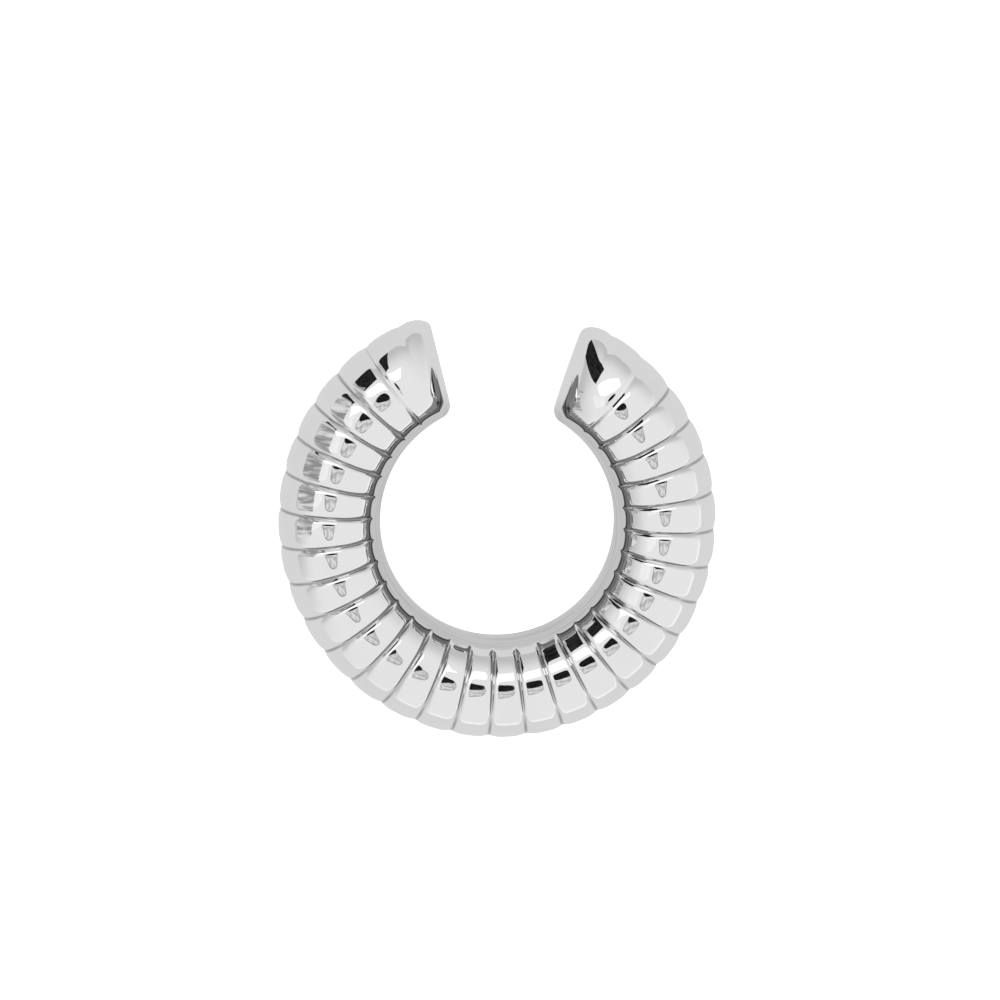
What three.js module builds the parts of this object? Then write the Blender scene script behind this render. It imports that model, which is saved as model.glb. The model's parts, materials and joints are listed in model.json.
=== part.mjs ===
// An ear cuff: a ribbed open ring of polished silver, one piece, pressed onto the rim of an ear.
//
// Millimetres and degrees. The cuff lies on its side: the ring's axis is +Z and the gap between
// its two ends faces +Y. The origin is the middle of the underside of the cuff's box.
//
// The body is swept round the ring through many sections. A section is an ellipse, a little taller
// than it is wide. Its angle is counted from the outer side of the ring, over the crown on top
// at 90, to the bore at 180. A place along the body is the angle from the point opposite the gap.

import * as THREE from 'three';

// The ring
const outerDiameter = 14.0; // over the ribs
const boreDiameter = 7.5; // the hollow that takes the rim of the ear
const height = 3.75; // along the ring's axis, over the ribs
const gapAngle = 44.4; // between the two end faces, at the middle of the body
const faceLean = 5.9; // how far an end face leans out of the ring's radius, its outer edge ahead

// The grooves, which leave rounded ribs between them
const grooveCount = 31;
const capAngle = 7.8; // of plain body between the last groove and the end face
const grooveDepth = 0.11;
const crownShare = 0.5; // of a rib's length that is not drawn down towards its grooves
const boreBandAngle = 60; // of the section's turn: a smooth band next to the ear
const grooveRunout = 15; // of the section's turn, over which a groove's end rises to the band

// The grooves nearest the ends are weaker, and the last one marks the outer side only
const weakGrooves = [
  { fromEnd: 0, depthShare: 0.6, reach: 45 },
  { fromEnd: 1, depthShare: 0.8, reach: 180 },
];

// The rounding of an end: how far from the end face it starts, and how deep it is at the face
const outerRound = { length: 0.55, depth: 0.43 };
const boreRound = { length: 0.85, depth: 0.45 };
const sideRound = { length: 1.13, depth: 1.65 };

// How finely the body is cut into flat facets
const sectionSides = 24; // a multiple of four, so that flat facets lie on top and underneath
const ribStations = [-1, -0.8, -crownShare, crownShare, 0.8]; // in half ribs, from the rib's middle
const endStations = 6;

const degree = Math.PI / 180;
const outerRadius = outerDiameter / 2;
const boreRadius = boreDiameter / 2;
const centreRadius = (outerRadius + boreRadius) / 2;
const halfWall = (outerRadius - boreRadius) / 2;
const halfHeight = height / 2;
const endAngle = 180 - gapAngle / 2;
const lastGrooveAngle = endAngle - capAngle;
const ribCount = grooveCount - 1;
const ribAngle = 2 * lastGrooveAngle / ribCount;
const capLength = capAngle * degree * centreRadius;

// The angles along the body at which a section is drawn
function stationAngles() {
  const angles = [];
  for (let rib = 0; rib < ribCount; rib += 1) {
    const middle = -lastGrooveAngle + (rib + 0.5) * ribAngle;
    ribStations.forEach((halfRibs) => angles.push(middle + halfRibs * ribAngle / 2));
  }
  angles.push(lastGrooveAngle);
  const capAngles = capStationAngles();
  return [...capAngles.map((angle) => -angle).reverse(), ...angles, ...capAngles];
}

// Past the last groove the sections close up towards the end face, where the body rounds fastest
function capStationAngles() {
  const angles = [];
  for (let step = 1; step <= endStations; step += 1) {
    const share = Math.sin(90 * degree * step / endStations);
    angles.push(lastGrooveAngle + capAngle * share);
  }
  return angles;
}

// How deep a rounded end has cut in, at a distance from the end face: a quarter of an ellipse
function roundDepth(round, distance, room) {
  const depth = Math.min(round.depth, room);
  const share = Math.max(0, 1 - distance / round.length);
  return depth * (1 - Math.sqrt(1 - share * share));
}

// A rib's crown stays level, then curves down to the groove, where the share is 1
function grooveShare(angle) {
  const nearest = THREE.MathUtils.clamp(Math.round((angle + lastGrooveAngle) / ribAngle), 0, ribCount);
  const fromGroove = Math.abs(angle + lastGrooveAngle - nearest * ribAngle) / (ribAngle / 2);
  const down = Math.max(0, (1 - fromGroove - crownShare) / (1 - crownShare));
  return { share: down * down, fromEnd: Math.min(nearest, ribCount - nearest) };
}

// How deep the groove is at one point: it dies out before the smooth band round the bore
function grooveDepthAt(groove, turn) {
  const weak = weakGrooves.find((row) => row.fromEnd === groove.fromEnd);
  const bandEdge = 180 - boreBandAngle / 2;
  const reach = weak ? Math.min(weak.reach, bandEdge) : bandEdge;
  const strength = weak ? weak.depthShare : 1;
  const fade = THREE.MathUtils.clamp((reach - turn) / grooveRunout, 0, 1);
  return grooveDepth * strength * groove.share * fade;
}

// One section: a ring of corner points, set so that flat sides face out, up, in and down
function section(angle) {
  const fromFace = (endAngle - Math.abs(angle)) * degree * centreRadius;
  const outerCut = roundDepth(outerRound, fromFace, halfWall);
  const boreCut = roundDepth(boreRound, fromFace, halfWall);
  const sideCut = roundDepth(sideRound, fromFace, halfHeight);
  const groove = grooveShare(angle);
  const lean = Math.sign(angle) * faceLean * Math.max(0, 1 - fromFace / capLength);
  const along = angle * degree;
  const across = (angle + lean) * degree;
  const cornerScale = 1 / Math.cos(Math.PI / sectionSides);
  const points = [];
  for (let corner = 0; corner < sectionSides; corner += 1) {
    const turn = 360 * (corner + 0.5) / sectionSides;
    const fromOutside = turn > 180 ? 360 - turn : turn;
    const cut = grooveDepthAt(groove, fromOutside);
    const halfWidth = (halfWall - (outerCut + boreCut) / 2 - cut) * cornerScale;
    const offset = (boreCut - outerCut) / 2 + halfWidth * Math.cos(turn * degree);
    const rise = (halfHeight - sideCut - cut) * cornerScale * Math.sin(turn * degree);
    points.push(new THREE.Vector3(
      centreRadius * Math.sin(along) + offset * Math.sin(across),
      -centreRadius * Math.cos(along) - offset * Math.cos(across),
      rise,
    ));
  }
  return points;
}

// Skins a row of sections with triangles and closes both ends with a fan round their middle
function skin(sections) {
  const corners = sections.flat();
  const middles = [sections[0], sections[sections.length - 1]].map(
    (ring) => ring.reduce((sum, point) => sum.add(point), new THREE.Vector3()).divideScalar(ring.length),
  );
  const lastSection = sections.length - 1;
  const firstMiddle = corners.length;
  const faces = [];
  for (let side = 0; side < sectionSides; side += 1) {
    const next = (side + 1) % sectionSides;
    for (let row = 0; row < lastSection; row += 1) {
      const [a, b] = [row * sectionSides + side, row * sectionSides + next];
      const [c, d] = [a + sectionSides, b + sectionSides];
      faces.push(a, c, b, b, c, d);
    }
    faces.push(firstMiddle, side, next);
    faces.push(firstMiddle + 1, lastSection * sectionSides + next, lastSection * sectionSides + side);
  }
  const geometry = new THREE.BufferGeometry().setFromPoints([...corners, ...middles]);
  geometry.setIndex(faces);
  return geometry;
}

// Sets a shape down with the middle of its underside at the origin
function setDown(geometry) {
  geometry.computeBoundingBox();
  const { min, max } = geometry.boundingBox;
  return geometry.translate(-(min.x + max.x) / 2, -(min.y + max.y) / 2, -min.z);
}

const polishedSilver = new THREE.MeshStandardMaterial({ color: '#e9e8e6', roughness: 0.06, metalness: 1 });

const ribbedCuff = new THREE.Mesh(setDown(skin(stationAngles().map(section))), polishedSilver);
ribbedCuff.name = 'ribbed_cuff';
ribbedCuff.geometry.computeVertexNormals();

const earCuff = new THREE.Group();
earCuff.add(ribbedCuff);

export default earCuff;
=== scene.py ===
# %% [markdown]
# # A ribbed ear cuff in polished silver
#
# An ear cuff is a small open ring that is pressed onto the rim of the ear. This one is a single
# casting: a fat ring of silver with rounded ribs all round its body, a smooth band in the bore
# where it touches the skin, and two plain domed ends with a gap between them.
#
# The solid model of the cuff is already there. It is loaded first, and its box says how big the
# finished piece may be. Everything that follows is in metres, with +Z up.

# %% Load the solid model
import json
import math

import bmesh
import bpy
from mathutils import Matrix, Vector

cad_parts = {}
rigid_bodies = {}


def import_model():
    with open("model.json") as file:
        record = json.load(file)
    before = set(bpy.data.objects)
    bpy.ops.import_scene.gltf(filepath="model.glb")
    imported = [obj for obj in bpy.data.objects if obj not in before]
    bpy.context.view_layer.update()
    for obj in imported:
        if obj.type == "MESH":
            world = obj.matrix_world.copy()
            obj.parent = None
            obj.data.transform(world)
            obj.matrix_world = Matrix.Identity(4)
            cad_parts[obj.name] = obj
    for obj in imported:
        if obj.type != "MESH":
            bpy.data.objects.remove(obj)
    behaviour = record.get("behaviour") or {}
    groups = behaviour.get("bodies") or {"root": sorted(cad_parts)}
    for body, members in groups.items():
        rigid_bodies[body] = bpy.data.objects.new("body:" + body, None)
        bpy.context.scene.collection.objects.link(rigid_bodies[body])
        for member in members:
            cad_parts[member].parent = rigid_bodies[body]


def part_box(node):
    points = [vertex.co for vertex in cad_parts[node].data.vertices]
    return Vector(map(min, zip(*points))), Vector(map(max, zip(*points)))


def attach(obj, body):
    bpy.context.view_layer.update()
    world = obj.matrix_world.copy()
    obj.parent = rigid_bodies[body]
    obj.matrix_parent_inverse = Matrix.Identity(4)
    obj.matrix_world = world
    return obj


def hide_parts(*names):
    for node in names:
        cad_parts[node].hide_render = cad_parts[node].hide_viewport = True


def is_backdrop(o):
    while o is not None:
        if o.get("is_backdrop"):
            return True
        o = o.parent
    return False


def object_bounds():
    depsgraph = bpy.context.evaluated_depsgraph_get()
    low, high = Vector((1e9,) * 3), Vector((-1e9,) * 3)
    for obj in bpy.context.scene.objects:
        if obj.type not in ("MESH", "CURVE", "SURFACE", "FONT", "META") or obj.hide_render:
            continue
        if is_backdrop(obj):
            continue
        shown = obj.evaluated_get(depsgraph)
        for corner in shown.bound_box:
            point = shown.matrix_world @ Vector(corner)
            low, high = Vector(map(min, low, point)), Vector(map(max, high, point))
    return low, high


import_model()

cad_low, cad_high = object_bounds()
print("solid model, lowest corner:", [round(value, 6) for value in cad_low])
print("solid model, highest corner:", [round(value, 6) for value in cad_high])

# %% [markdown]
# ## The sizes of the ring
#
# A jeweller would give the ring by a few sizes: over the ribs, in the bore, along its axis, and
# the angle of the gap. The body's section is an ellipse, a little taller than it is wide. The
# height is read from the solid model. The other sizes are the ones that the solid was made with.
#
# The real section is a little squarer than an ellipse, most of all on its outer side. A power
# above two gives that, and leaves the width and the height as they are. A ring that is bent and
# sprung is never quite round either: this one is a little wider along one diameter.

# %% Name the sizes of the ring
mm = 0.001
outer_radius = 7.0 * mm
bore_radius = 3.75 * mm
gap_angle = math.radians(44.4)

outer_power = 2.15
bore_power = 2.06
ovalness = 0.018 * mm
long_diameter = math.radians(18.7)

centre_radius = (outer_radius + bore_radius) / 2
half_wall = (outer_radius - bore_radius) / 2
half_height = (cad_high.z - cad_low.z) / 2
end_angle = math.pi - gap_angle / 2
print("half wall and half height in mm:", round(half_wall / mm, 3), round(half_height / mm, 3))

# %% [markdown]
# ## Spin one section round the axis
#
# A ring like this could be a torus with a piece cut out, but then the ends would have to be
# repaired. A spin is cleaner: one ellipse is swept round the axis from one end to the other and
# leaves an open tube whose rows can be moved later. It stands opposite the gap to begin with,
# towards -Y, and is turned back to the first end before the spin starts.
#
# Each rib gets the same number of rows, and each plain end gets rows of its own.

# %% Spin the plain body
rib_count = 30
rows_per_rib = 16
rows_per_end = 22
section_sides = 184
row_count = rib_count * rows_per_rib + 2 * rows_per_end


def spun_body():
    """An open tube with an ellipse for its section, swept from one end of the cuff to the other."""
    body = bmesh.new()
    bmesh.ops.create_circle(body, cap_ends=False, radius=1.0, segments=section_sides)
    bmesh.ops.scale(body, vec=(half_wall, half_height, 1.0), verts=body.verts)
    stand_up = Matrix.Rotation(math.pi / 2, 3, "Y") @ Matrix.Rotation(math.pi / 2, 3, "Z")
    bmesh.ops.rotate(body, cent=(0, 0, 0), matrix=stand_up, verts=body.verts)
    bmesh.ops.translate(body, vec=(0, -centre_radius, 0), verts=body.verts)
    to_first_end = Matrix.Rotation(-end_angle, 3, "Z")
    bmesh.ops.rotate(body, cent=(0, 0, 0), matrix=to_first_end, verts=body.verts)
    bmesh.ops.spin(
        body, geom=body.verts[:] + body.edges[:], cent=(0, 0, 0), axis=(0, 0, 1),
        dvec=(0, 0, 0), angle=2 * end_angle, steps=row_count, use_merge=False, use_duplicate=False,
    )
    return body


cuff = spun_body()
print("spun body:", len(cuff.verts), "points,", len(cuff.faces), "faces")

# %% [markdown]
# ## Where a row of points goes
#
# The spin leaves its rows at even steps. The eye looks hardest at the grooves, so the rows are
# gathered there: inside each rib they follow a sine, which is steep in the middle of the rib and
# flat at both of its grooves. At the ends they gather towards the end face in the same way.
#
# `spot` reads a point of the plain tube back into three plain values: the angle along the body
# from the point opposite the gap, the turn round the section from the outer side (0) over the
# crown (a quarter turn) to the bore (half a turn), and whether it lies above or below the middle.

# %% Work out where each row and point lies
end_length_angle = math.radians(7.1)
last_groove = end_angle - end_length_angle
rib_angle = 2 * last_groove / rib_count


def row_angle(row):
    """The angle along the body of one row, counted from the first end."""
    from_nearer_end = min(row, row_count - row)
    if from_nearer_end < rows_per_end:
        share = math.sin(math.pi / 2 * (1 - from_nearer_end / rows_per_end))
        angle = last_groove + end_length_angle * share
        return -angle if row < row_count / 2 else angle
    rib, step = divmod(row - rows_per_end, rows_per_rib)
    across = math.sin(math.pi / 2 * (2 * step / rows_per_rib - 1))
    return -last_groove + rib_angle * (rib + (1 + across) / 2)


def spot(point):
    """The angle along the body, the turn round the section, and +1 above or -1 below the middle."""
    even_angle = math.atan2(point.x, -point.y)
    row = round((even_angle + end_angle) / (2 * end_angle) * row_count)
    outwards = (math.hypot(point.x, point.y) - centre_radius) / half_wall
    upwards = point.z / half_height
    return row_angle(row), math.atan2(abs(upwards), outwards), math.copysign(1, upwards)


print("pitch of the ribs in degrees:", round(math.degrees(rib_angle), 3))

# %% [markdown]
# ## The ribs
#
# On the real cuff each rib is a pillow: level on its crown, then rolled down on both sides into a
# narrow groove with a round bottom. A squared sine gives that roll, because it is level where it
# starts and level again where it ends.
#
# The level part is long on top, where the ribs look flat, and short on the outer side, where they
# bulge enough to scallop the outline, though the grooves are shallower there. Even the level part
# is very slightly arched, which a share of the cube of the distance adds. The grooves die out
# slowly before the bore, because the band that touches the ear is smooth. Those nearest the ends
# are worn weaker, and the very last one only marks the outer side. The ribs were set by eye: on
# the left arm they have drifted by about a degree towards the end.

# %% Shape of a rib
groove_depth = 0.108 * mm
outer_depth_share = 0.68
level_on_crown = 0.68
level_on_outside = 0.28
level_on_bore = 0.74
roll_power = 1.35
arch_share = 0.31
arch_power = 3
side_power = 3
crown_turn = math.pi / 2
drift = math.radians(1.1)
drift_middle = math.radians(-80)
drift_reach = math.radians(62)
band_edge = math.radians(153)
groove_runout = math.radians(30)
weak_grooves = {
    ("left", 0): {"depth_share": 0.6, "reach": math.radians(62)},
    ("left", 1): {"depth_share": 0.8, "reach": band_edge},
    ("right", 0): {"depth_share": 0.6, "reach": math.radians(62)},
    ("right", 1): {"depth_share": 0.6, "reach": band_edge},
}


def eased(share):
    """A share from 0 to 1 that starts and stops softly."""
    held = min(max(share, 0.0), 1.0)
    return held * held * (3 - 2 * held)


def sideways(turn):
    """How far a turn of the section points sideways, from 0 on the crown to 1 at either side."""
    return abs(math.cos(turn)) ** side_power


def groove_share(angle, turn):
    """How far a point is drawn down towards its groove, from 0 on the crown to 1 in the groove."""
    place = (angle + last_groove) / rib_angle
    nearest = min(max(round(place), 0), rib_count)
    from_middle = max(0.0, 1 - abs(place - nearest) * 2)
    at_side = sideways(turn)
    level_at_side = level_on_outside if turn < crown_turn else level_on_bore
    level = level_on_crown + (level_at_side - level_on_crown) * at_side
    down = max(0.0, (from_middle - level) / (1 - level))
    share = math.sin(math.pi / 2 * down ** roll_power) ** 2
    if turn < crown_turn:
        share += (down ** 2 - share) * at_side
    share = share * (1 - arch_share) + arch_share * from_middle ** arch_power
    side = "right" if angle > 0 else "left"
    weak = weak_grooves.get((side, min(nearest, rib_count - nearest)), {})
    reach = weak.get("reach", band_edge)
    return share * eased((reach - turn) / groove_runout) * weak.get("depth_share", 1.0)


def depth_share(turn):
    """How deep a groove is at one turn of the section, as a share of its depth on the crown."""
    outwards = sideways(turn) if turn < crown_turn else 0.0
    return 1 + (outer_depth_share - 1) * outwards


def drifted(angle):
    """Where a place along the body has ended up on the real cuff."""
    return angle - drift * eased(1 - abs(angle - drift_middle) / drift_reach)


middle_groove = 0.0
middle_depth = groove_depth * groove_share(middle_groove, crown_turn)
print("depth of the groove opposite the gap, on its crown, in mm:", round(middle_depth / mm, 3))

# %% [markdown]
# ## The ends
#
# Both ends are blunt domes. Seen from above the end face is straight, with a rounded corner on
# each side, and it leans: its outer edge is ahead. Seen from the side it closes up like the end
# of a loaf. Each of these roundings is a quarter of an ellipse, with a length along the body and
# a depth at the face, so three rows of values give the whole dome.

# %% Shape of an end
outer_round = {"length": 0.55 * mm, "depth": 0.43 * mm}
bore_round = {"length": 0.7 * mm, "depth": 0.3 * mm}
side_round = {"length": 2.1 * mm, "depth": 1.65 * mm}
face_lean = math.radians(5.9)
end_length = end_length_angle * centre_radius


def round_depth(rounding, from_face):
    """How deep a rounding has cut in, at a distance from the end face."""
    share = max(0.0, 1 - from_face / rounding["length"])
    return rounding["depth"] * (1 - math.sqrt(1 - share * share))


def section_point(turn):
    """A point of the plain section, from -1 to 1 both outwards and upwards."""
    power = outer_power if turn < crown_turn else bore_power
    outwards = math.copysign(abs(math.cos(turn)) ** (2 / power), math.cos(turn))
    return outwards, max(0.0, math.sin(turn)) ** (2 / power)


def shaped_point(angle, turn, side):
    """Where a point of the finished cuff lies, and how far down its groove it is."""
    from_face = (end_angle - abs(angle)) * centre_radius
    outer_cut = round_depth(outer_round, from_face)
    bore_cut = round_depth(bore_round, from_face)
    share = groove_share(angle, turn)
    angle = drifted(angle)
    cut = groove_depth * depth_share(turn) * share
    bend_radius = centre_radius + ovalness * math.cos(2 * (angle - long_diameter))
    half_width = half_wall - (outer_cut + bore_cut) / 2 - cut
    outwards, upwards = section_point(turn)
    offset = (bore_cut - outer_cut) / 2 + half_width * outwards
    rise = (half_height - round_depth(side_round, from_face) - cut) * upwards * side
    lean = math.copysign(face_lean, angle) * max(0.0, 1 - from_face / end_length)
    along = Vector((math.sin(angle), -math.cos(angle), 0))
    across = Vector((math.sin(angle + lean), -math.cos(angle + lean), 0))
    return bend_radius * along + offset * across + Vector((0, 0, rise)), share


print("an end narrows to", round((half_height - side_round["depth"]) * 2 / mm, 3), "mm at its face")

# %% [markdown]
# ## Move the points, close the ends and set the cuff down
#
# Each point goes to its place, and keeps the share of its groove as an attribute, which the
# finish uses later to paint the bottom of the grooves a darker grey. The two open ends are filled.
# The roundings already run level into the end face, so one face closes each end without a visible edge.
#
# The normals are recalculated last, because a spin can turn a tube inside out. The cuff is then
# set down on the middle of the solid's box, so it lies exactly where the solid lies.

# %% Shape the cuff and close it
groove_layer = cuff.verts.layers.float.new("groove")

for vertex in cuff.verts:
    vertex.co, vertex[groove_layer] = shaped_point(*spot(vertex.co))

rims = [edge for edge in cuff.edges if edge.is_boundary]
end_faces = bmesh.ops.edgeloop_fill(cuff, edges=rims, mat_nr=0, use_smooth=True)["faces"]
bmesh.ops.recalc_face_normals(cuff, faces=cuff.faces)
print("faces that close the ends:", len(end_faces))


def bounds_of(shape):
    """Lowest and highest corner of a mesh that is still being modelled."""
    low = Vector([min(vertex.co[axis] for vertex in shape.verts) for axis in range(3)])
    high = Vector([max(vertex.co[axis] for vertex in shape.verts) for axis in range(3)])
    return low, high


low, high = bounds_of(cuff)
solid_low, solid_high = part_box("ribbed_cuff")
set_down = (solid_low + solid_high) / 2 - (low + high) / 2
bmesh.ops.translate(cuff, vec=set_down, verts=cuff.verts)
ring_centre = Vector((0, set_down.y, half_height))
print("size in mm:", [round(value / mm, 3) for value in high - low])
print("ring axis at y, in mm:", round(ring_centre.y / mm, 3))

# %% [markdown]
# ## From a shape to an object
#
# A bmesh is only a place to work in. The finished shape goes into a mesh, and an object shows the
# mesh. With smooth shading the small faces melt into one curved skin, as on polished metal, and
# no modifier is needed because the rows already lie close together.

# %% Make it an object
cuff_mesh = bpy.data.meshes.new("silver_cuff")
cuff.to_mesh(cuff_mesh)
cuff.free()
cuff_mesh.shade_smooth()
silver_cuff = bpy.data.objects.new("silver_cuff", cuff_mesh)
bpy.context.scene.collection.objects.link(silver_cuff)
print("triangles:", sum(len(face.vertices) - 2 for face in cuff_mesh.polygons))

# %% [markdown]
# ## Shader sums written as Python
#
# A finish is worked out by a chain of nodes, and a chain of Math nodes is hard to read. So one
# small class wraps a socket: when two of them are added or multiplied, the Math node is made
# behind the scenes. The other class holds the nodes of one material, or of the world, and adds any
# other kind of node, with its settings first and its sockets after them.

# %% Two helpers for nodes
class Value:
    """A number that changes over a surface. A sum with it adds a Math node."""

    def __init__(self, finish, socket):
        self.finish = finish
        self.socket = socket

    def sum(self, operation, *others):
        return self.finish.node("ShaderNodeMath", {"operation": operation}, dict(enumerate(others)))

    def __add__(self, other):
        return self.sum("ADD", self, other)

    def __radd__(self, other):
        return self.sum("ADD", other, self)

    def __sub__(self, other):
        return self.sum("SUBTRACT", self, other)

    def __rsub__(self, other):
        return self.sum("SUBTRACT", other, self)

    def __mul__(self, other):
        return self.sum("MULTIPLY", self, other)

    def __rmul__(self, other):
        return self.sum("MULTIPLY", other, self)

    def __truediv__(self, other):
        return self.sum("DIVIDE", self, other)

    def __pow__(self, other):
        return self.sum("POWER", self, other)


class Finish:
    """The nodes of one material or of the world."""

    def __init__(self, owner):
        owner.use_nodes = True
        self.tree = owner.node_tree
        self.tree.nodes.clear()

    def node(self, kind, settings=None, sockets=None, output=0):
        """Adds a node, makes its settings, fills or links its sockets, and returns its output."""
        made = self.tree.nodes.new(kind)
        for name, setting in (settings or {}).items():
            setattr(made, name, setting)
        for name, value in (sockets or {}).items():
            if isinstance(value, Value):
                self.tree.links.new(value.socket, made.inputs[name])
            else:
                made.inputs[name].default_value = value
        if output == "all":
            return [Value(self, socket) for socket in made.outputs]
        return Value(self, made.outputs[output]) if made.outputs else made

    def between(self, value, low, high, new_low=0.0, new_high=1.0):
        """Maps a value from one range to another, smoothly, and holds it at both limits."""
        return self.node(
            "ShaderNodeMapRange",
            {"interpolation_type": "SMOOTHSTEP", "clamp": True},
            {"Value": value, "From Min": low, "From Max": high, "To Min": new_low, "To Max": new_high},
        )

    def mix(self, factor, first, second):
        """Blends two colours."""
        return self.node(
            "ShaderNodeMix", {"data_type": "RGBA"}, {0: factor, 6: first, 7: second}, output=2
        )


def grey(brightness):
    """A neutral colour."""
    return (brightness, brightness, brightness, 1.0)


print("helpers ready: Value and Finish")

# %% [markdown]
# ## Polished silver
#
# Polished silver is almost a mirror, and a perfect mirror looks like a toy. What makes the real
# one believable is small: hairlines left by the polishing wheel, which run round the ring; a
# faint waviness of the casting; handling haze in soft patches. A darker grey is also painted
# into the bottom of the grooves.
#
# The hairlines need coordinates that follow the ring. The shader works them out from the Object
# coordinates: the angle round the axis, the distance from it, and the height. The seam of that
# angle falls in the gap, where there is no metal.

# %% Read the place on the ring
silver = bpy.data.materials.new("polished_silver")
finish = Finish(silver)
place = finish.node("ShaderNodeTexCoord", output="Object")
x, y, z = finish.node("ShaderNodeSeparateXYZ", sockets={0: place}, output="all")
towards_gap = y - ring_centre.y
round_angle = finish.node("ShaderNodeMath", {"operation": "ARCTAN2"}, {0: x, 1: 0 - towards_gap})
from_axis = (x * x + towards_gap * towards_gap) ** 0.5
groove = finish.node("ShaderNodeAttribute", {"attribute_name": "groove"}, output="Fac")
print("coordinates ready: round_angle, from_axis, z and groove")

# %% [markdown]
# ## Three patterns for the wear
#
# One noise is stretched far along the ring, and gives the hairlines. Another is broad and soft,
# for the waviness of the casting. The third lies in between, and says where hands have left haze.

# %% Draw the patterns
hairline_spread = 9000.0
hairline_stretch = 260.0
hairline_grain = {"Scale": 1.0, "Detail": 3.0, "Roughness": 0.6}
waviness_grain = {"Scale": 900.0, "Detail": 2.0, "Roughness": 0.5}
patch_grain = {"Scale": 420.0, "Detail": 4.0, "Roughness": 0.55}

hairline_place = finish.node(
    "ShaderNodeCombineXYZ",
    sockets={0: round_angle * (hairline_stretch * centre_radius), 1: from_axis * hairline_spread,
             2: z * hairline_spread},
)
hairlines = finish.node("ShaderNodeTexNoise", sockets={"Vector": hairline_place, **hairline_grain})
waviness = finish.node("ShaderNodeTexNoise", sockets={"Vector": place, **waviness_grain})
patches = finish.node("ShaderNodeTexNoise", sockets={"Vector": place, **patch_grain})
print("nodes so far:", len(finish.tree.nodes))

# %% [markdown]
# ## Where the silver is dull, dark or streaked
#
# Each mark has its own place. Haze lies in the soft patches. The bottom of the grooves is painted
# a darker grey, most on the outer side, where they show as grey lines. The smooth band in
# the bore has faint streaks that run round it.
#
# Every mask runs smoothly from 0 to 1 between two limits, so no mark has a hard edge.

# %% Colour the silver
silver_light = grey(0.95)
silver_dull = grey(0.88)
# A darker grey, painted into the bottom of the grooves.
groove_grey = grey(0.4)
band_streak = grey(0.7)
patch_limits = (0.42, 0.7)
groove_bottom = (0.62, 1.0)
outer_side = (outer_radius - 1.0 * mm, outer_radius - 0.4 * mm)
bore_side = (bore_radius + 0.12 * mm, bore_radius + 0.4 * mm)
streak_limits = (0.46, 0.62)
patch_strength = 0.35
groove_grey_strength = 0.5
groove_grey_added_outside = 0.45
streak_strength = 0.55

soft_patches = finish.between(patches, *patch_limits)
in_groove = finish.between(groove, *groove_bottom)
on_outside = finish.between(from_axis, *outer_side)
in_bore = 1 - finish.between(from_axis, *bore_side)
streaks = finish.between(hairlines, *streak_limits)
# The bottom of the grooves is painted darker, most on the outer side.
groove_greying = in_groove * (groove_grey_strength + groove_grey_added_outside * on_outside)
silver_colour = finish.mix(soft_patches * patch_strength, silver_light, silver_dull)
silver_colour = finish.mix(groove_greying, silver_colour, groove_grey)
silver_colour = finish.mix(streaks * in_bore * streak_strength, silver_colour, band_streak)
print("silver is coloured in", len(finish.tree.nodes), "nodes")

# %% [markdown]
# ## The polish and its relief
#
# The roughness stays close to zero, since this is a mirror, and rises only in the haze and the
# grooves. The hairlines and the waviness are far too fine to model, so a Bump node tilts the
# reflection by them instead. It is kept very weak: a little more would look like hammered metal.

# %% Polish the silver
polish = 0.03
haze = 0.035
groove_haze = 0.16
hairline_height = 0.25
relief_strength = 0.12
relief_height = 0.01 * mm

silver_roughness = polish + haze * soft_patches + groove_haze * in_groove * in_groove
relief = finish.node(
    "ShaderNodeBump",
    sockets={"Strength": relief_strength, "Distance": relief_height,
             "Height": hairlines * hairline_height + waviness},
)
surface = finish.node(
    "ShaderNodeBsdfPrincipled",
    sockets={"Base Color": silver_colour, "Metallic": 1.0, "Roughness": silver_roughness, "Normal": relief},
)
finish.node("ShaderNodeOutputMaterial", sockets={"Surface": surface})
cuff_mesh.materials.append(silver)
print("silver nodes:", len(finish.tree.nodes))

# %% [markdown]
# ## The camera
#
# The cuff is seen from almost straight above. The camera is tipped ten degrees towards the gap,
# a little to the left of it, and is turned so that the gap points slightly to the right of
# straight up. A long lens, twenty centimetres away, keeps the ring almost free of distortion.

# %% Place the camera
camera_tilt = math.radians(10)
camera_azimuth = math.radians(108.6)
camera_turn = math.radians(2.6)
camera_distance = 0.2
clip_factor = 100
sensor_width = 36.0
view_width = 31.93 * mm
aim_right = 0.094 * mm
aim_up = 0.643 * mm

towards_camera = Vector((
    math.sin(camera_tilt) * math.cos(camera_azimuth),
    math.sin(camera_tilt) * math.sin(camera_azimuth),
    math.cos(camera_tilt),
))
gap_direction = Vector((0, 1, 0))
shown_gap = (gap_direction - towards_camera * towards_camera.dot(gap_direction)).normalized()
picture_up = Matrix.Rotation(camera_turn, 3, towards_camera) @ shown_gap
picture_right = picture_up.cross(towards_camera)
picture_axes = Matrix((picture_right, picture_up, towards_camera)).transposed()

camera_data = bpy.data.cameras.new("camera")
camera_data.sensor_width = sensor_width
camera_data.lens = sensor_width * camera_distance / view_width
camera_data.clip_start = camera_distance / clip_factor
camera_data.clip_end = camera_distance * clip_factor
camera = bpy.data.objects.new("camera", camera_data)
aim = ring_centre + picture_right * aim_right + picture_up * aim_up
camera.matrix_world = Matrix.Translation(aim + towards_camera * camera_distance) @ picture_axes.to_4x4()
bpy.context.scene.collection.objects.link(camera)
bpy.context.scene.camera = camera
print("lens in mm:", round(camera_data.lens, 1))

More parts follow.
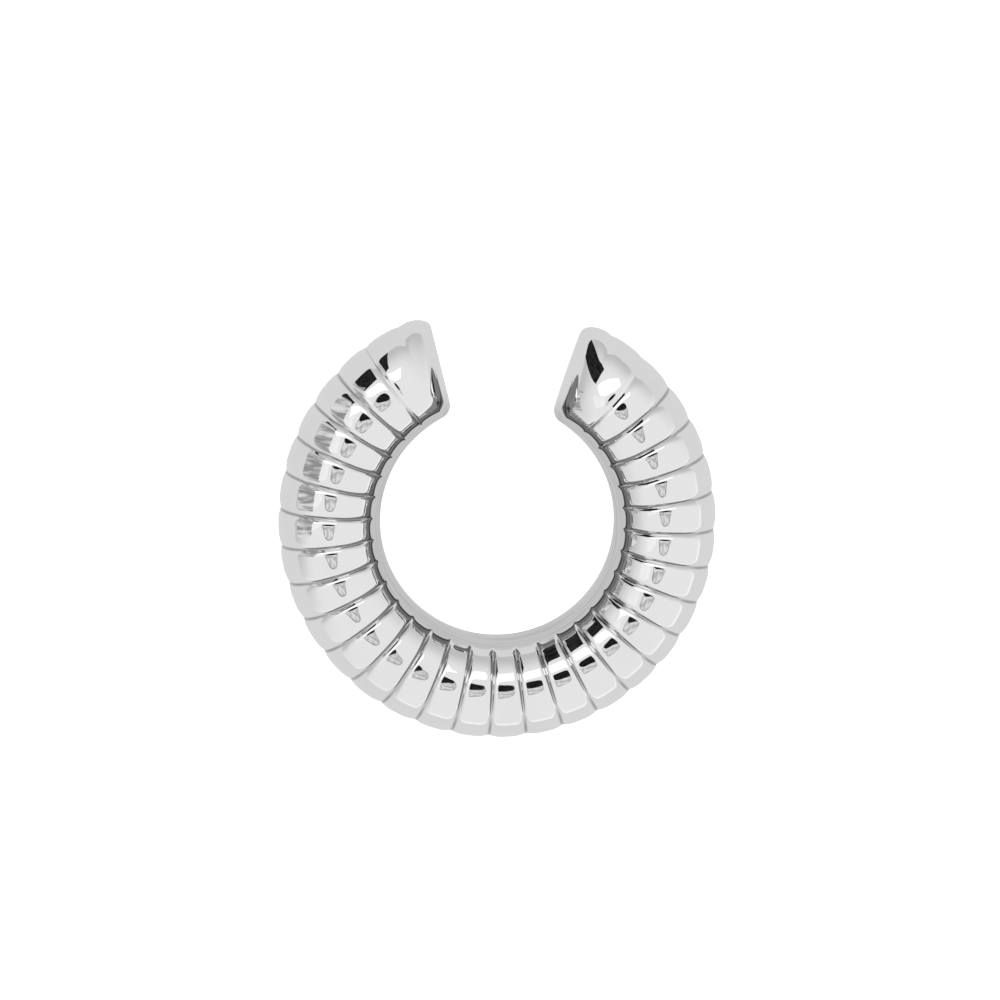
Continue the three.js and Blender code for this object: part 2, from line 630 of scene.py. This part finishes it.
# %% [markdown]
# ## The floor
#
# The cuff lies on a plain pale floor. A mirror shows what is round it, so the floor has two
# jobs: to be the bright plain ground of the picture, and to be what the metal mirrors. In the
# studio the first is overexposed and the second is not. Two sheets, one just under the other, do
# this cleanly: the upper is seen by the camera only, the lower by everything else.
#
# The mirrored sheet has the cuff's shade drawn on it: a little duller inside the bore, dark round
# the foot of the ring, and open in the gap.
#
# Real silver also loses light at each bounce, in its haze and its hairlines. Where the bore
# mirrors its own far side, the light has met the metal twice, and a dark line is left there. So
# the studio is given a second brightness, for light that has been mirrored more than once. The
# count of bounces stands one higher where a ray ends in the tent than where it ends on a sheet,
# so each of the two has its own limit.

# %% Lay the floor
floor_radius = 1.5
floor_sides = 96
seen_floor_colour = grey(0.9)
seen_floor_glow = 0.9
mirrored_floor = grey(0.7)
floor_in_bore = grey(0.57)
shade_colour = grey(0.1)
bore_shade = (2.6 * mm, 4.6 * mm)
shade_inside = (3.5 * mm, 4.1 * mm)
shade_outside = (6.5 * mm, 7.1 * mm)
shade_free = (math.cos(math.radians(36)), math.cos(math.radians(24)))
second_bounce = 0.3
sheet_bounces = 1
tent_bounces = 2
between_counts = (0.2, 0.8)
sheet_gap = 0.02 * mm
foot_of_axis = Vector((0, ring_centre.y, 0))


def plain_disc(name, radius, level, material):
    """A flat disc that belongs to the studio and not to the cuff."""
    shape = bmesh.new()
    bmesh.ops.create_circle(shape, cap_ends=True, radius=radius, segments=floor_sides)
    bmesh.ops.translate(shape, vec=(0, 0, level), verts=shape.verts)
    mesh = bpy.data.meshes.new(name)
    shape.to_mesh(mesh)
    shape.free()
    mesh.materials.append(material)
    disc = bpy.data.objects.new(name, mesh)
    bpy.context.scene.collection.objects.link(disc)
    disc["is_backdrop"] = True
    return disc


def bright_paint():
    """The plain bright ground of the picture, matt and a little overexposed."""
    material = bpy.data.materials.new("floor_bright")
    paint = Finish(material)
    coat = paint.node(
        "ShaderNodeBsdfPrincipled",
        sockets={"Base Color": seen_floor_colour, "Roughness": 1.0, "Specular IOR Level": 0.0,
                 "Emission Color": grey(1.0), "Emission Strength": seen_floor_glow},
    )
    paint.node("ShaderNodeOutputMaterial", sockets={"Surface": coat})
    return material


def dimmed(paint, colour, bounces_shown):
    """A colour as the metal shows it: whole after one bounce, and less after more of them."""
    bounces = paint.node("ShaderNodeLightPath", output="Ray Depth")
    start, stop = (bounces_shown + step for step in between_counts)
    lost = paint.between(bounces, start, stop, 0.0, 1 - second_bounce)
    return paint.mix(lost, colour, grey(0.0))


def glow_with(paint, colour):
    """Gives a sheet or card of the studio an even glow of one colour and no shine of its own."""
    glow = paint.node(
        "ShaderNodeBsdfPrincipled",
        sockets={"Base Color": grey(0.0), "Roughness": 1.0, "Specular IOR Level": 0.0,
                 "Emission Color": colour, "Emission Strength": 1.0},
    )
    paint.node("ShaderNodeOutputMaterial", sockets={"Surface": glow})


def shaded_paint():
    """The pale ground that the metal mirrors, with the shade of the ring drawn on it."""
    material = bpy.data.materials.new("floor_pale")
    paint = Finish(material)
    spread = paint.node("ShaderNodeTexCoord", output="Object")
    from_ring = paint.node(
        "ShaderNodeVectorMath", {"operation": "DISTANCE"}, {0: spread, 1: foot_of_axis}, output="Value"
    )
    forwards = paint.node(
        "ShaderNodeVectorMath", {"operation": "DOT_PRODUCT"}, {0: spread, 1: gap_direction}, output="Value"
    )
    in_gap = paint.between((forwards - ring_centre.y) / from_ring, *shade_free)
    shade = paint.between(from_ring, *shade_inside) - paint.between(from_ring, *shade_outside)
    colour = paint.mix(paint.between(from_ring, *bore_shade), floor_in_bore, mirrored_floor)
    colour = paint.mix(shade * (1 - in_gap), colour, shade_colour)
    glow_with(paint, dimmed(paint, colour, sheet_bounces))
    return material


seen_floor = plain_disc("floor_seen", floor_radius, -sheet_gap, bright_paint())
pale_floor = plain_disc("floor_mirrored", floor_radius, -2 * sheet_gap, shaded_paint())
pale_floor.visible_camera = False
for kind_of_ray in ("visible_diffuse", "visible_glossy", "visible_transmission", "visible_shadow"):
    setattr(seen_floor, kind_of_ray, False)
print("floor radius in m:", floor_radius)

# %% [markdown]
# ## The studio that the silver mirrors
#
# Nothing gives a polished ring its look but its surroundings. Here it stands in a tent of white
# cloth, which is darker low down on its far side and glows a little where it meets the floor on
# its near side. The rest is hung in front of the tent as cards: the black lens that looks in, the
# grey front panel round it, two soft lights, a black card that gives the silver its contrast,
# and a dull strip that hangs close to the left arm.
#
# The tent is the world's background. How far a direction points towards one side of it, or
# upwards, says how bright the cloth is there.

# %% Make the tent
tent_bright = 0.82
tent_dark = 0.54
dark_side_turn = math.radians(120)
near_side_turn = math.radians(300)
tent_edge = 0.97
far_side_limits = (-0.5, 0.5)
near_side_limits = (0.2, 0.9)
low_limits = (0.1, 0.75)
edge_limits = (0.04, 0.17)


def studio_direction(turn, angle):
    """The direction that lies at an angle from the lens, towards a turn in the picture."""
    sideways = picture_right * math.cos(turn) + picture_up * math.sin(turn)
    return towards_camera * math.cos(angle) + sideways * math.sin(angle)


def facing(tent, direction, towards):
    """How far a direction in the tent points the same way as another."""
    return tent.node(
        "ShaderNodeVectorMath", {"operation": "DOT_PRODUCT"}, {0: direction, 1: towards}, output="Value"
    )


world = bpy.data.worlds.new("tent")
bpy.context.scene.world = world
tent = Finish(world)
direction = tent.node("ShaderNodeTexCoord", output="Generated")
height_in_tent = facing(tent, direction, (0, 0, 1))
dark_direction = studio_direction(dark_side_turn, math.pi / 2)
near_direction = studio_direction(near_side_turn, math.pi / 2)
far_side = tent.between(facing(tent, direction, dark_direction), *far_side_limits)
near_side = tent.between(facing(tent, direction, near_direction), *near_side_limits)
low_down = 1 - tent.between(height_in_tent, *low_limits)
at_the_edge = 1 - tent.between(height_in_tent, *edge_limits)
cloth = tent.mix(far_side * low_down, grey(tent_bright), grey(tent_dark))
cloth = tent.mix(at_the_edge * near_side, cloth, grey(tent_edge))
backdrop = tent.node("ShaderNodeBackground", sockets={"Color": dimmed(tent, cloth, tent_bounces)})
tent.node("ShaderNodeOutputWorld", sockets={"Surface": backdrop})
print("tent brightness from", tent_dark, "to", tent_bright)

# %% [markdown]
# ## The cards
#
# Each card is given by where it is mirrored from, as seen in the picture: the turn round the
# lens, counted from the right of the picture, the angle away from the lens, and half its width
# and half its length, which are angles too. All of these are in degrees. A card nearer to the
# cuff covers those behind it, so the lens hangs in front of its panel.

# %% List the cards
far_away = 250 * mm
close_by = 9.8 * mm
even = (1, 1, 1)
upright_streaks = (0.1, 1, 0.1)
cards = [
    {"name": "card_panel_edge", "turn": 270, "angle": 8.6, "half_width": 13.6, "half_length": 15.6,
     "dark": 0.24, "bright": 0.4, "grain": 20.0, "streaks": even, "distance": far_away, "round": True},
    {"name": "card_front_panel", "turn": 270, "angle": 8.6, "half_width": 12.4, "half_length": 14.4,
     "dark": 0.45, "bright": 0.76, "grain": 60.0, "streaks": even, "distance": far_away - 2 * mm,
     "round": True},
    {"name": "card_soft_light", "turn": 110, "angle": 23.2, "half_width": 26, "half_length": 9.7,
     "dark": 1.25, "bright": 1.25, "grain": 1.0, "streaks": even, "distance": far_away - 12 * mm},
    {"name": "card_side_light", "turn": 188, "angle": 33, "half_width": 11, "half_length": 11,
     "dark": 0.86, "bright": 0.93, "grain": 8.0, "streaks": even, "distance": far_away - 8 * mm},
    {"name": "card_lens", "turn": 270, "angle": 1.8, "half_width": 12.8, "half_length": 8.2,
     "dark": 0.004, "bright": 0.016, "grain": 60.0, "streaks": even, "distance": far_away - 20 * mm,
     "round": True},
    {"name": "card_black", "turn": 130, "angle": 70, "half_width": 16.5, "half_length": 27,
     "dark": 0.008, "bright": 0.026, "grain": 60.0, "streaks": even, "distance": far_away - 12 * mm},
    {"name": "card_dull", "turn": 166, "angle": 66, "half_width": 23.5, "half_length": 10.5,
     "dark": 0.28, "bright": 0.74, "grain": 2600.0, "streaks": upright_streaks, "distance": close_by},
]
print("cards to hang:", len(cards))

# %% [markdown]
# ## Paint and hang them
#
# A card glows by itself, in soft patches between two brightnesses, and casts no shadow. It faces
# the middle of the cuff. The camera doesn't see it: it is only there to be mirrored.

# %% Hang the cards
patch_edges = (0.35, 0.65)


def card_paint(card):
    """Glows between two brightnesses, in soft patches."""
    material = bpy.data.materials.new(card["name"])
    paint = Finish(material)
    card_place = paint.node("ShaderNodeTexCoord", output="Object")
    stretched = paint.node(
        "ShaderNodeVectorMath", {"operation": "MULTIPLY"}, {0: card_place, 1: card["streaks"]}
    )
    pattern = paint.node("ShaderNodeTexNoise", sockets={"Vector": stretched, "Scale": card["grain"]})
    colour = paint.mix(paint.between(pattern, *patch_edges), grey(card["dark"]), grey(card["bright"]))
    glow_with(paint, colour)
    return material


def hang_card(card):
    """A flat card that faces the cuff from its place in the studio."""
    turn = math.radians(card["turn"])
    angle = math.radians(card["angle"])
    distance = card["distance"]
    outwards = studio_direction(turn, angle)
    away_from_lens = studio_direction(turn, angle + math.pi / 2)
    axes = Matrix((away_from_lens.cross(outwards), away_from_lens, -outwards)).transposed()
    size = (
        math.tan(math.radians(card["half_width"])) * distance,
        math.tan(math.radians(card["half_length"])) * distance,
        1.0,
    )
    shape = bmesh.new()
    if card.get("round"):
        bmesh.ops.create_circle(shape, cap_ends=True, radius=1.0, segments=floor_sides)
    else:
        bmesh.ops.create_grid(shape, x_segments=1, y_segments=1, size=1.0)
    bmesh.ops.scale(shape, vec=size, verts=shape.verts)
    bmesh.ops.transform(
        shape, matrix=Matrix.Translation(ring_centre + outwards * distance) @ axes.to_4x4(), verts=shape.verts
    )
    mesh = bpy.data.meshes.new(card["name"])
    shape.to_mesh(mesh)
    shape.free()
    mesh.materials.append(card_paint(card))
    hung = bpy.data.objects.new(card["name"], mesh)
    bpy.context.scene.collection.objects.link(hung)
    hung.visible_camera = False
    hung.visible_diffuse = False
    hung.visible_shadow = False
    hung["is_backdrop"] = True
    return hung


hung_cards = [hang_card(card) for card in cards]
print("cards:", [hung.name for hung in hung_cards])

# %% [markdown]
# ## Exposure
#
# The picture is shown as it is, without a film curve, so that white stays white.

# %% Set the view
bpy.context.scene.view_settings.view_transform = "Standard"
bpy.context.scene.view_settings.look = "None"
print("view:", bpy.context.scene.view_settings.view_transform)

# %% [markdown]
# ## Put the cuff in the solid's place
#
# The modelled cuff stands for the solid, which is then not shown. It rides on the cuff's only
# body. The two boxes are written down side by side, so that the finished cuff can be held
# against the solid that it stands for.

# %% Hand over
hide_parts("ribbed_cuff")
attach(silver_cuff, "root")

low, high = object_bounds()
print("finished cuff, lowest corner:", [round(value, 6) for value in low])
print("finished cuff, highest corner:", [round(value, 6) for value in high])
